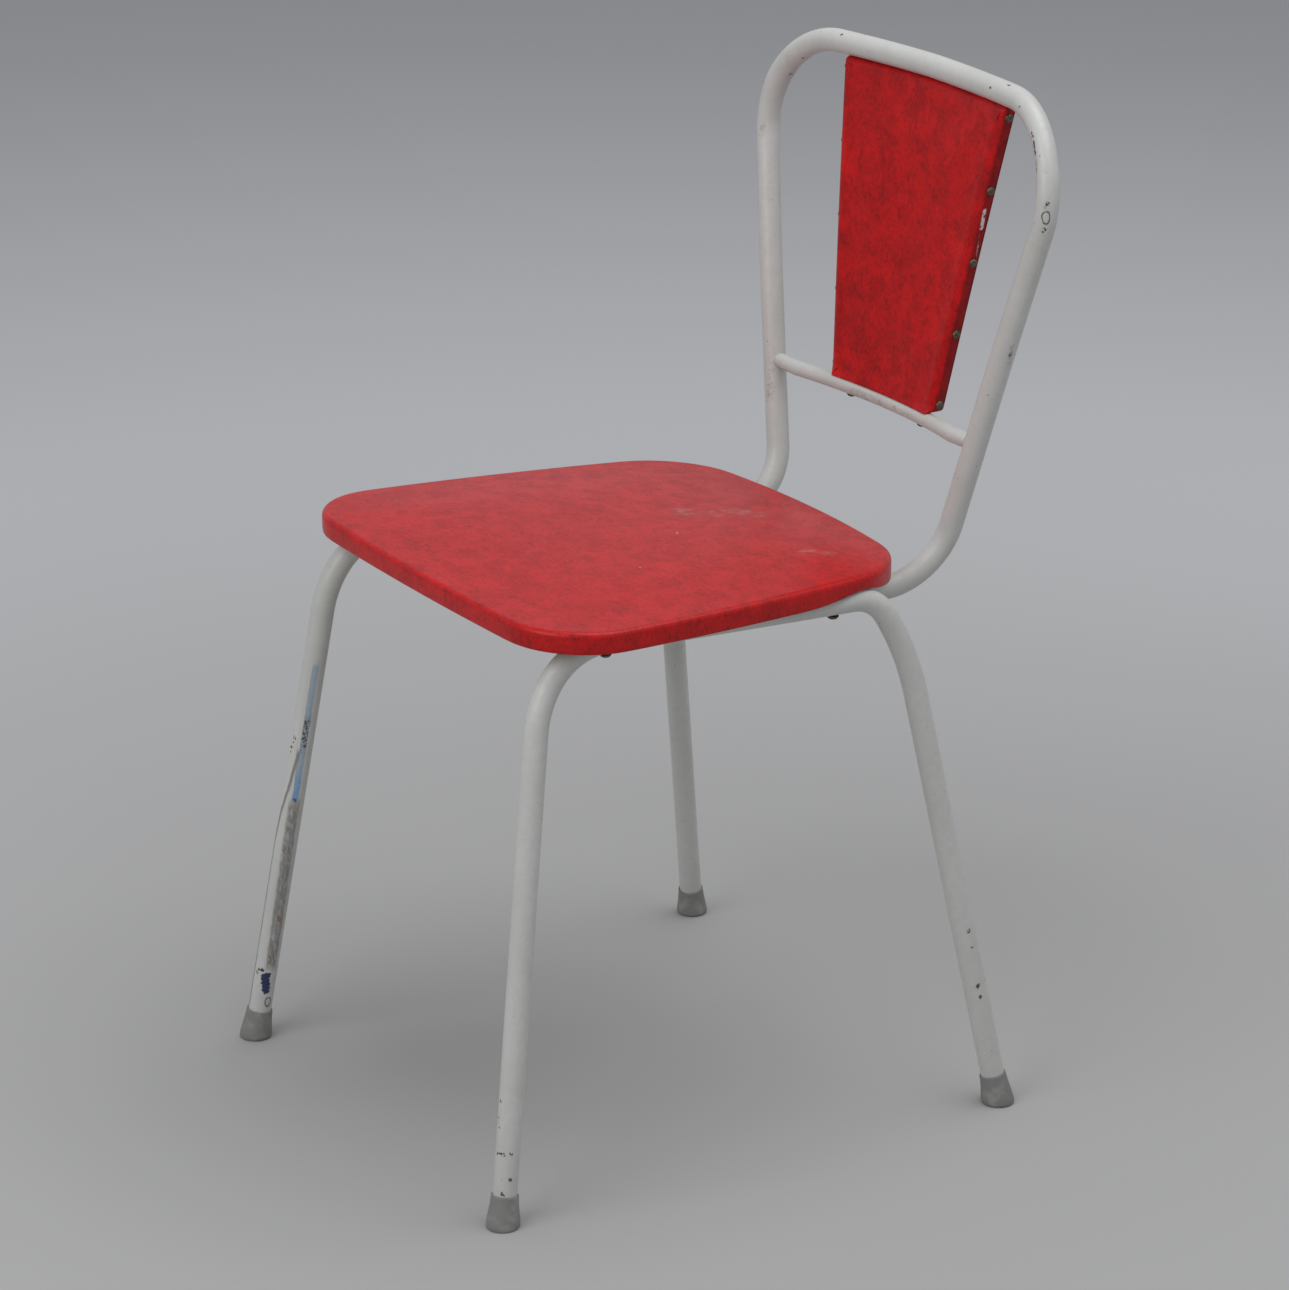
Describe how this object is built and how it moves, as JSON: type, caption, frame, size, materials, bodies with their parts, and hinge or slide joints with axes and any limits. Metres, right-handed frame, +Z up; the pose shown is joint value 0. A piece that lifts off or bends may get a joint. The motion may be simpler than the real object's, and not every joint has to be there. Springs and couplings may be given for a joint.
{
  "type": "kitchen chair",
  "caption": "Chair with enamelled bent steel tube legs and back hoop, a padded vinyl seat and a tapered padded vinyl back.",
  "frame": {"origin": "on the floor, at the centre of the bounding box", "axes": "+X to the sitter's left, -Y the way the sitter faces, +Z up"},
  "size_m": [0.5076, 0.5767, 0.8491],
  "materials": {
    "cream_enamel": "glossy, chipped",
    "red_vinyl": "satin, mottled",
    "plywood": "raw",
    "wadding": "matt",
    "grey_rubber": "matt",
    "dull_steel": "dull",
    "dull_bronze": "tarnished"
  },
  "bodies": {
    "root": {"back_board": "plywood", "back_cover": "red_vinyl", "back_crossbar": "cream_enamel", "back_hoop": "cream_enamel", "back_padding": "wadding", "back_rear_cover": "red_vinyl", "front_cross_tube": "cream_enamel", "left_back_screw": "dull_bronze", "left_back_tack_1": "dull_bronze", "left_back_tack_2": "dull_bronze", "left_back_tack_3": "dull_bronze", "left_back_tack_4": "dull_bronze", "left_back_tack_5": "dull_bronze", "left_back_top_pin": "dull_steel", "left_front_foot": "grey_rubber", "left_front_foot_washer": "dull_steel", "left_front_seat_screw": "dull_bronze", "left_leg_frame": "cream_enamel", "left_rear_foot": "grey_rubber", "left_rear_foot_washer": "dull_steel", "left_rear_seat_screw": "dull_bronze", "rear_cross_tube": "cream_enamel", "right_back_screw": "dull_bronze", "right_back_tack_1": "dull_bronze", "right_back_tack_2": "dull_bronze", "right_back_tack_3": "dull_bronze", "right_back_tack_4": "dull_bronze", "right_back_tack_5": "dull_bronze", "right_back_top_pin": "dull_steel", "right_front_foot": "grey_rubber", "right_front_foot_washer": "dull_steel", "right_front_seat_screw": "dull_bronze", "right_leg_frame": "cream_enamel", "right_rear_foot": "grey_rubber", "right_rear_foot_washer": "dull_steel", "right_rear_seat_screw": "dull_bronze", "seat_board": "plywood", "seat_cover": "red_vinyl", "seat_padding": "wadding"}
  },
  "joints": []
}
